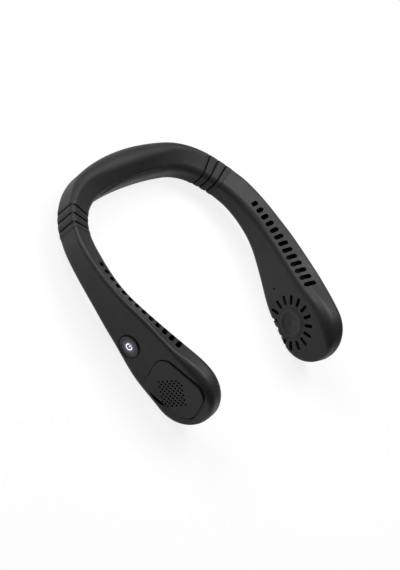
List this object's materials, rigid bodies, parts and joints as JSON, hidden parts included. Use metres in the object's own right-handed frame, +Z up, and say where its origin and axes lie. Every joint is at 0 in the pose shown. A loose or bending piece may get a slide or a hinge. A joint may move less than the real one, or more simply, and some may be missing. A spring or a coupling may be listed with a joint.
{
  "type": "neck fan",
  "caption": "Wearable horseshoe neck fan: a flexible neck band with curved arms that hold slotted air outlets, perforated intake covers, motor-driven impellers and a power button.",
  "frame": {"origin": "middle of the footprint on the surface that the fan stands on", "axes": "+Z up, +Y towards the back of the neck band, -Y the way the arms point; the button arm is at -X"},
  "size_m": [0.1834, 0.1916, 0.0474],
  "materials": {
    "casing": "satin moulded charcoal plastic",
    "sleeve": "soft matte charcoal silicone",
    "cover": "satin moulded charcoal plastic",
    "core": "plain moulded plastic",
    "button": "satin plastic",
    "icon": "clear white light guide, lit from behind",
    "impeller": "moulded plastic",
    "steel": "bright steel",
    "laminate": "stacked steel laminations",
    "copper": "enamelled copper wire",
    "magnet": "pressed magnet",
    "bronze": "sintered bronze",
    "cell": "shrink-wrapped lithium cell",
    "board": "printed circuit board",
    "switch": "moulded plastic",
    "lamp": "clear resin",
    "cable": "insulated wires in a sheath"
  },
  "bodies": {
    "neck_band": {"neck_sleeve": "sleeve", "neck_core": "core", "link_cable": "cable", "left_hinge_pin": "steel", "left_flex_sleeve": "sleeve", "right_hinge_pin": "steel", "right_flex_sleeve": "sleeve"},
    "left_arm": {"left_arm_link": "core", "left_link_screw": "steel", "left_outer_casing": "casing", "left_inner_casing": "casing", "left_side_cover": "cover", "left_hub_cap": "casing", "left_casing_screws": "steel", "left_motor_mount": "core", "left_bearings": "bronze", "left_stator": "laminate", "left_windings": "copper", "left_scroll": "core", "left_duct_floor": "core", "left_battery": "cell", "usb_socket": "steel", "switch_housing": "switch", "main_board": "board", "status_light": "lamp"},
    "left_fan": {"left_impeller": "impeller", "left_rotor_cup": "steel", "left_magnet": "magnet", "left_shaft": "steel"},
    "right_arm": {"right_arm_link": "core", "right_link_screw": "steel", "right_outer_casing": "casing", "right_inner_casing": "casing", "right_side_cover": "cover", "right_hub_cap": "casing", "right_casing_screws": "steel", "right_motor_mount": "core", "right_bearings": "bronze", "right_stator": "laminate", "right_windings": "copper", "right_scroll": "core", "right_duct_floor": "core", "right_battery": "cell"},
    "right_fan": {"right_impeller": "impeller", "right_rotor_cup": "steel", "right_magnet": "magnet", "right_shaft": "steel"},
    "button": {"power_button": "button", "button_icon": "icon", "switch_plunger": "switch"}
  },
  "joints": [
    {"name": "left_arm_hinge", "type": "hinge", "parent": "neck_band", "child": "left_arm", "pos_m": [-0.07046, 0.05979, 0.01302], "axis": [0, 0, -1], "range_deg": [-8, 25], "deforming": ["left_flex_sleeve", "link_cable"]},
    {"name": "left_fan_spin", "type": "hinge", "parent": "left_arm", "child": "left_fan", "pos_m": [-0.06318, -0.06195, 0.0161], "axis": [-0.983, -0.1834, 0], "continuous": true},
    {"name": "right_arm_hinge", "type": "hinge", "parent": "neck_band", "child": "right_arm", "pos_m": [0.07046, 0.05979, 0.01302], "axis": [0, 0, 1], "range_deg": [-8, 25], "deforming": ["right_flex_sleeve", "link_cable"]},
    {"name": "right_fan_spin", "type": "hinge", "parent": "right_arm", "child": "right_fan", "pos_m": [0.06318, -0.06195, 0.0161], "axis": [0.983, -0.1834, 0], "continuous": true},
    {"name": "button_press", "type": "slide", "parent": "left_arm", "child": "button", "axis": [0.9884, 0.1516, 0], "range_m": [0, 0.0008], "stiffness_N_per_m": 400}
  ]
}
